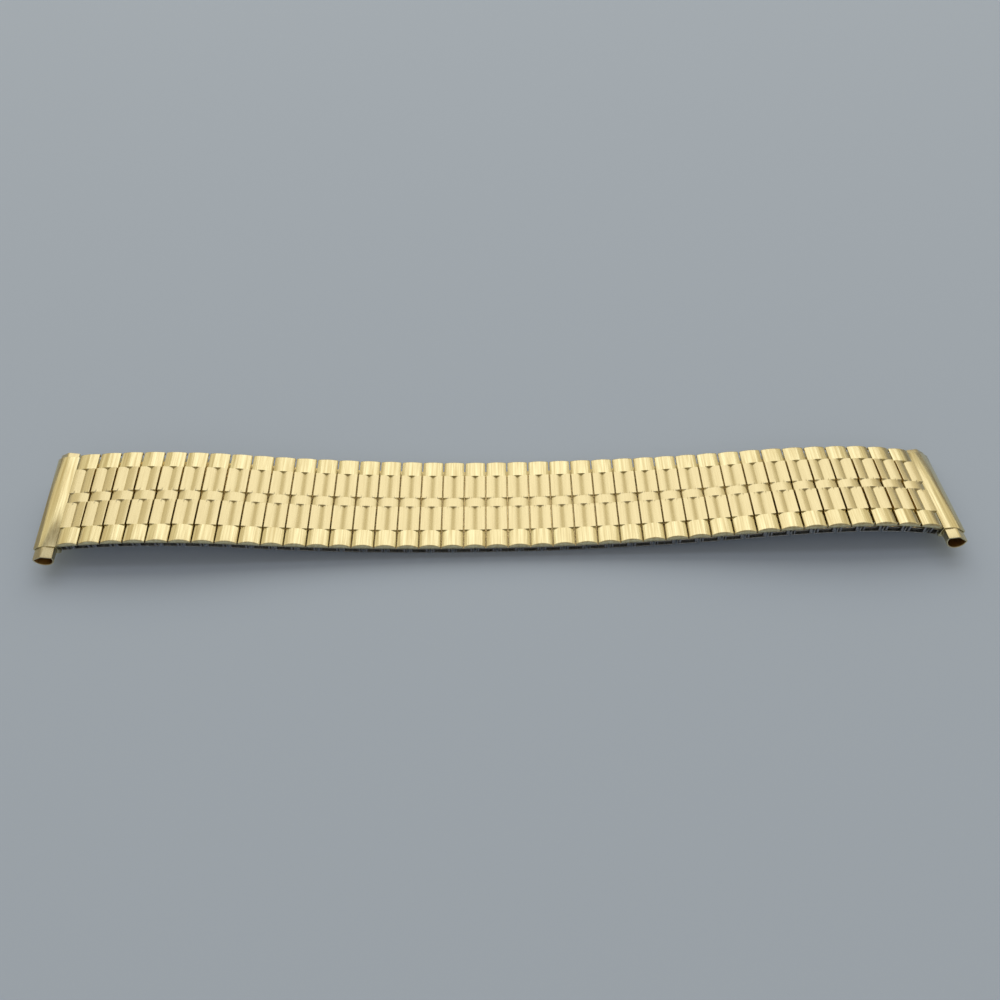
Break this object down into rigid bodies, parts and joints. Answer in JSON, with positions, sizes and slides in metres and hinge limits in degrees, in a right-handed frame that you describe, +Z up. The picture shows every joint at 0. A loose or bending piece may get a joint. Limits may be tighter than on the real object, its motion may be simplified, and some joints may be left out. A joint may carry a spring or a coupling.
{
  "type": "expansion watch band",
  "caption": "Sprung expansion band: domed and hollowed link covers on two staggered rows of sleeves joined by side bows, with telescoping sleeves in curved end covers.",
  "frame": {"origin": "centre of the flat underside of the lower sleeve at the low middle of the band, where it rests", "axes": "+X along the band to the right-hand end, +Y across it to the far side, +Z up from the surface"},
  "size_m": [0.1442, 0.0202, 0.0073],
  "materials": {
    "gold_tone": "polished and satin gold tone",
    "steel": "brushed"
  },
  "bodies": {
    "link_01": {"link_01": "gold_tone"},
    "link_02": {"link_02": "gold_tone"},
    "link_03": {"link_03": "gold_tone"},
    "link_04": {"link_04": "gold_tone"},
    "link_05": {"link_05": "gold_tone"},
    "link_06": {"link_06": "gold_tone"},
    "link_07": {"link_07": "gold_tone"},
    "link_08": {"link_08": "gold_tone"},
    "link_09": {"link_09": "gold_tone"},
    "link_10": {"link_10": "gold_tone"},
    "link_11": {"link_11": "gold_tone"},
    "link_12": {"link_12": "gold_tone"},
    "link_13": {"link_13": "gold_tone"},
    "link_14": {"link_14": "gold_tone"},
    "link_15": {"link_15": "gold_tone"},
    "link_16": {"link_16": "gold_tone"},
    "link_17": {"link_17": "gold_tone"},
    "link_18": {"link_18": "gold_tone"},
    "link_19": {"link_19": "gold_tone"},
    "link_20": {"link_20": "gold_tone"},
    "link_21": {"link_21": "gold_tone"},
    "link_22": {"link_22": "gold_tone"},
    "link_23": {"link_23": "gold_tone"},
    "link_24": {"link_24": "gold_tone"},
    "link_25": {"link_25": "gold_tone"},
    "link_26": {"link_26": "gold_tone"},
    "link_27": {"link_27": "gold_tone"},
    "link_28": {"link_28": "gold_tone"},
    "link_29": {"link_29": "gold_tone"},
    "link_30": {"link_30": "gold_tone"},
    "link_31": {"link_31": "gold_tone"},
    "link_32": {"link_32": "gold_tone"},
    "link_33": {"link_33": "gold_tone"},
    "link_34": {"link_34": "gold_tone"},
    "link_35": {"link_35": "gold_tone"},
    "link_36": {"link_36": "gold_tone"},
    "link_37": {"link_37": "gold_tone"},
    "link_38": {"link_38": "gold_tone"},
    "link_39": {"link_39": "gold_tone"},
    "lower_link_03": {"lower_link_03": "steel"},
    "lower_link_06": {"lower_link_06": "steel"},
    "lower_link_09": {"lower_link_09": "steel"},
    "lower_link_12": {"lower_link_12": "steel"},
    "lower_link_15": {"lower_link_15": "steel"},
    "lower_link_18": {"lower_link_18": "steel"},
    "lower_link_21": {"lower_link_21": "steel"},
    "lower_link_24": {"lower_link_24": "steel"},
    "lower_link_27": {"lower_link_27": "steel"},
    "lower_link_30": {"lower_link_30": "steel"},
    "lower_link_33": {"lower_link_33": "steel"},
    "lower_link_36": {"lower_link_36": "steel"},
    "left_end": {"left_end_cover": "gold_tone", "left_end_link": "steel"},
    "left_near_sleeve": {"left_near_sleeve": "gold_tone"},
    "left_far_sleeve": {"left_far_sleeve": "gold_tone"},
    "right_end": {"right_end_cover": "gold_tone", "right_end_link": "steel"},
    "right_near_sleeve": {"right_near_sleeve": "gold_tone"},
    "right_far_sleeve": {"right_far_sleeve": "gold_tone"}
  },
  "joints": [
    {"name": "stretch_20", "type": "slide", "parent": "link_20", "child": "link_21", "axis": [1, 0, 0.0032], "range_m": [0, 0.0007], "stiffness_N_per_m": 100000},
    {"name": "curl_21", "type": "hinge", "parent": "link_21", "child": "lower_link_21", "pos_m": [0.0023, 0, 0.00088], "axis": [0, 1, 0], "range_deg": [-5, 20]},
    {"name": "stretch_21", "type": "slide", "parent": "lower_link_21", "child": "link_22", "axis": [0.9999, 0, 0.0124], "range_m": [0, 0.0007]},
    {"name": "stretch_22", "type": "slide", "parent": "link_22", "child": "link_23", "axis": [0.9998, 0, 0.0216], "range_m": [0, 0.0007]},
    {"name": "stretch_23", "type": "slide", "parent": "link_23", "child": "link_24", "axis": [0.9995, 0, 0.0308], "range_m": [0, 0.0007]},
    {"name": "curl_24", "type": "hinge", "parent": "link_24", "child": "lower_link_24", "pos_m": [0.01281, 0, 0.00109], "axis": [0.0004, 0.9999, -0.0113], "range_deg": [-5, 20]},
    {"name": "stretch_24", "type": "slide", "parent": "lower_link_24", "child": "link_25", "axis": [0.9992, 0, 0.04], "range_m": [0, 0.0007]},
    {"name": "stretch_25", "type": "slide", "parent": "link_25", "child": "link_26", "axis": [0.9988, 0, 0.0491], "range_m": [0, 0.0007]},
    {"name": "stretch_26", "type": "slide", "parent": "link_26", "child": "link_27", "axis": [0.9983, 0, 0.0583], "range_m": [0, 0.0007]},
    {"name": "curl_27", "type": "hinge", "parent": "link_27", "child": "lower_link_27", "pos_m": [0.02331, -0.00001, 0.00158], "axis": [0.0017, 0.9996, -0.0269], "range_deg": [-5, 20]},
    {"name": "stretch_27", "type": "slide", "parent": "lower_link_27", "child": "link_28", "axis": [0.9977, 0, 0.0675], "range_m": [0, 0.0007]},
    {"name": "stretch_28", "type": "slide", "parent": "link_28", "child": "link_29", "axis": [0.9971, 0, 0.0767], "range_m": [0, 0.0007]},
    {"name": "stretch_29", "type": "slide", "parent": "link_29", "child": "link_30", "axis": [0.9963, 0, 0.0859], "range_m": [0, 0.0007]},
    {"name": "curl_30", "type": "hinge", "parent": "link_30", "child": "lower_link_30", "pos_m": [0.03378, -0.00001, 0.00237], "axis": [0.0038, 0.9991, -0.0425], "range_deg": [-5, 20]},
    {"name": "stretch_30", "type": "slide", "parent": "lower_link_30", "child": "link_31", "axis": [0.9955, 0, 0.095], "range_m": [0, 0.0007]},
    {"name": "stretch_31", "type": "slide", "parent": "link_31", "child": "link_32", "axis": [0.9956, 0, 0.0942], "range_m": [0, 0.0007]},
    {"name": "stretch_32", "type": "slide", "parent": "link_32", "child": "link_33", "axis": [0.9972, 0, 0.0743], "range_m": [0, 0.0007]},
    {"name": "curl_33", "type": "hinge", "parent": "link_33", "child": "lower_link_33", "pos_m": [0.04424, -0.00002, 0.00331], "axis": [0.004, 0.9983, -0.0583], "range_deg": [-5, 20]},
    {"name": "stretch_33", "type": "slide", "parent": "lower_link_33", "child": "link_34", "axis": [0.9985, 0, 0.0544], "range_m": [0, 0.0007]},
    {"name": "stretch_34", "type": "slide", "parent": "link_34", "child": "link_35", "axis": [0.9994, 0, 0.0344], "range_m": [0, 0.0007]},
    {"name": "stretch_35", "type": "slide", "parent": "link_35", "child": "link_36", "axis": [0.9999, 0, 0.0144], "range_m": [0, 0.0007]},
    {"name": "curl_36", "type": "hinge", "parent": "link_36", "child": "lower_link_36", "pos_m": [0.05471, -0.00002, 0.00371], "axis": [0.0006, 0.9973, -0.0741], "range_deg": [-5, 20]},
    {"name": "stretch_36", "type": "slide", "parent": "lower_link_36", "child": "link_37", "axis": [0.9994, 0, -0.0357], "range_m": [0, 0.0007]},
    {"name": "stretch_37", "type": "slide", "parent": "link_37", "child": "link_38", "axis": [0.9946, 0, -0.1034], "range_m": [0, 0.0007]},
    {"name": "stretch_38", "type": "slide", "parent": "link_38", "child": "link_39", "axis": [0.9853, 0, -0.1706], "range_m": [0, 0.0007]},
    {"name": "right_end_curl", "type": "hinge", "parent": "link_39", "child": "right_end", "pos_m": [0.06508, -0.00003, 0.00276], "axis": [-0.0172, 0.996, -0.0881], "range_deg": [-5, 20]},
    {"name": "stretch_19", "type": "slide", "parent": "link_20", "child": "link_19", "axis": [-1, 0, 0.0069], "range_m": [0, 0.0007]},
    {"name": "stretch_18", "type": "slide", "parent": "link_19", "child": "lower_link_18", "axis": [-0.9998, 0, 0.0174], "range_m": [0, 0.0007]},
    {"name": "curl_18", "type": "hinge", "parent": "lower_link_18", "child": "link_18", "pos_m": [-0.00821, 0, 0.00097], "axis": [-0.0001, -1, -0.0044], "range_deg": [-5, 20]},
    {"name": "stretch_17", "type": "slide", "parent": "link_18", "child": "link_17", "axis": [-0.9996, 0, 0.0278], "range_m": [0, 0.0007]},
    {"name": "stretch_16", "type": "slide", "parent": "link_17", "child": "link_16", "axis": [-0.9993, 0, 0.0383], "range_m": [0, 0.0007]},
    {"name": "stretch_15", "type": "slide", "parent": "link_16", "child": "lower_link_15", "axis": [-0.9988, 0, 0.0488], "range_m": [0, 0.0007]},
    {"name": "curl_15", "type": "hinge", "parent": "lower_link_15", "child": "link_15", "pos_m": [-0.01871, 0.00001, 0.00139], "axis": [-0.0011, -0.9998, -0.0201], "range_deg": [-5, 20]},
    {"name": "stretch_14", "type": "slide", "parent": "link_15", "child": "link_14", "axis": [-0.9982, 0, 0.0592], "range_m": [0, 0.0007]},
    {"name": "stretch_13", "type": "slide", "parent": "link_14", "child": "link_13", "axis": [-0.9976, 0, 0.0697], "range_m": [0, 0.0007]},
    {"name": "stretch_12", "type": "slide", "parent": "link_13", "child": "lower_link_12", "axis": [-0.9968, 0, 0.0801], "range_m": [0, 0.0007]},
    {"name": "curl_12", "type": "hinge", "parent": "lower_link_12", "child": "link_12", "pos_m": [-0.02919, 0.00001, 0.00215], "axis": [-0.0031, -0.9994, -0.0357], "range_deg": [-5, 20]},
    {"name": "stretch_11", "type": "slide", "parent": "link_12", "child": "link_11", "axis": [-0.9959, 0, 0.0905], "range_m": [0, 0.0007]},
    {"name": "stretch_10", "type": "slide", "parent": "link_11", "child": "link_10", "axis": [-0.9949, 0, 0.101], "range_m": [0, 0.0007]},
    {"name": "stretch_09", "type": "slide", "parent": "link_10", "child": "lower_link_09", "axis": [-0.9938, 0, 0.1114], "range_m": [0, 0.0007]},
    {"name": "curl_09", "type": "hinge", "parent": "lower_link_09", "child": "link_09", "pos_m": [-0.03965, 0.00002, 0.00323], "axis": [-0.0061, -0.9987, -0.0512], "range_deg": [-5, 20]},
    {"name": "stretch_08", "type": "slide", "parent": "link_09", "child": "link_08", "axis": [-0.9926, 0, 0.1218], "range_m": [0, 0.0007]},
    {"name": "stretch_07", "type": "slide", "parent": "link_08", "child": "link_07", "axis": [-0.9939, 0, 0.1102], "range_m": [0, 0.0007]},
    {"name": "stretch_06", "type": "slide", "parent": "link_07", "child": "lower_link_06", "axis": [-0.9962, 0, 0.0872], "range_m": [0, 0.0007]},
    {"name": "curl_06", "type": "hinge", "parent": "lower_link_06", "child": "link_06", "pos_m": [-0.05007, 0.00002, 0.00431], "axis": [-0.0048, -0.9977, -0.067], "range_deg": [-5, 20]},
    {"name": "stretch_05", "type": "slide", "parent": "link_06", "child": "link_05", "axis": [-0.9979, 0, 0.0642], "range_m": [0, 0.0007]},
    {"name": "stretch_04", "type": "slide", "parent": "link_05", "child": "link_04", "axis": [-0.9992, 0, 0.0411], "range_m": [0, 0.0007]},
    {"name": "stretch_03", "type": "slide", "parent": "link_04", "child": "lower_link_03", "axis": [-0.9999, 0, 0.0109], "range_m": [0, 0.0007]},
    {"name": "curl_03", "type": "hinge", "parent": "lower_link_03", "child": "link_03", "pos_m": [-0.06054, 0.00003, 0.00467], "axis": [0.001, -0.9966, -0.0829], "range_deg": [-5, 20]},
    {"name": "stretch_02", "type": "slide", "parent": "link_03", "child": "link_02", "axis": [-0.9997, 0, -0.0231], "range_m": [0, 0.0007]},
    {"name": "stretch_01", "type": "slide", "parent": "link_02", "child": "link_01", "axis": [-0.9984, 0, -0.057], "range_m": [0, 0.0007]},
    {"name": "left_end_curl", "type": "hinge", "parent": "link_01", "child": "left_end", "pos_m": [-0.0686, 0.00003, 0.00425], "axis": [0.0086, -0.9955, -0.0945], "range_deg": [-5, 20]},
    {"name": "left_near_telescope", "type": "slide", "parent": "left_end", "child": "left_near_sleeve", "axis": [0.0118, -0.9951, -0.0986], "range_m": [-0.0018, 0.00045]},
    {"name": "left_far_telescope", "type": "slide", "parent": "left_end", "child": "left_far_sleeve", "axis": [-0.0118, 0.9951, 0.0986], "range_m": [-0.0008, 0.00145]},
    {"name": "right_near_telescope", "type": "slide", "parent": "right_end", "child": "right_near_sleeve", "axis": [0.0233, -0.9956, 0.0912], "range_m": [-0.0018, 0.00045]},
    {"name": "right_far_telescope", "type": "slide", "parent": "right_end", "child": "right_far_sleeve", "axis": [-0.0233, 0.9956, -0.0912], "range_m": [-0.0008, 0.00145]}
  ],
  "couplings": [
    {"joint": "stretch_21", "follows": "stretch_20", "ratio": 1},
    {"joint": "stretch_22", "follows": "stretch_20", "ratio": 1},
    {"joint": "stretch_23", "follows": "stretch_20", "ratio": 1},
    {"joint": "stretch_24", "follows": "stretch_20", "ratio": 1},
    {"joint": "stretch_25", "follows": "stretch_20", "ratio": 1},
    {"joint": "stretch_26", "follows": "stretch_20", "ratio": 1},
    {"joint": "stretch_27", "follows": "stretch_20", "ratio": 1},
    {"joint": "stretch_28", "follows": "stretch_20", "ratio": 1},
    {"joint": "stretch_29", "follows": "stretch_20", "ratio": 1},
    {"joint": "stretch_30", "follows": "stretch_20", "ratio": 1},
    {"joint": "stretch_31", "follows": "stretch_20", "ratio": 1},
    {"joint": "stretch_32", "follows": "stretch_20", "ratio": 1},
    {"joint": "stretch_33", "follows": "stretch_20", "ratio": 1},
    {"joint": "stretch_34", "follows": "stretch_20", "ratio": 1},
    {"joint": "stretch_35", "follows": "stretch_20", "ratio": 1},
    {"joint": "stretch_36", "follows": "stretch_20", "ratio": 1},
    {"joint": "stretch_37", "follows": "stretch_20", "ratio": 1},
    {"joint": "stretch_38", "follows": "stretch_20", "ratio": 1},
    {"joint": "stretch_19", "follows": "stretch_20", "ratio": 1},
    {"joint": "stretch_18", "follows": "stretch_20", "ratio": 1},
    {"joint": "stretch_17", "follows": "stretch_20", "ratio": 1},
    {"joint": "stretch_16", "follows": "stretch_20", "ratio": 1},
    {"joint": "stretch_15", "follows": "stretch_20", "ratio": 1},
    {"joint": "stretch_14", "follows": "stretch_20", "ratio": 1},
    {"joint": "stretch_13", "follows": "stretch_20", "ratio": 1},
    {"joint": "stretch_12", "follows": "stretch_20", "ratio": 1},
    {"joint": "stretch_11", "follows": "stretch_20", "ratio": 1},
    {"joint": "stretch_10", "follows": "stretch_20", "ratio": 1},
    {"joint": "stretch_09", "follows": "stretch_20", "ratio": 1},
    {"joint": "stretch_08", "follows": "stretch_20", "ratio": 1},
    {"joint": "stretch_07", "follows": "stretch_20", "ratio": 1},
    {"joint": "stretch_06", "follows": "stretch_20", "ratio": 1},
    {"joint": "stretch_05", "follows": "stretch_20", "ratio": 1},
    {"joint": "stretch_04", "follows": "stretch_20", "ratio": 1},
    {"joint": "stretch_03", "follows": "stretch_20", "ratio": 1},
    {"joint": "stretch_02", "follows": "stretch_20", "ratio": 1},
    {"joint": "stretch_01", "follows": "stretch_20", "ratio": 1}
  ]
}
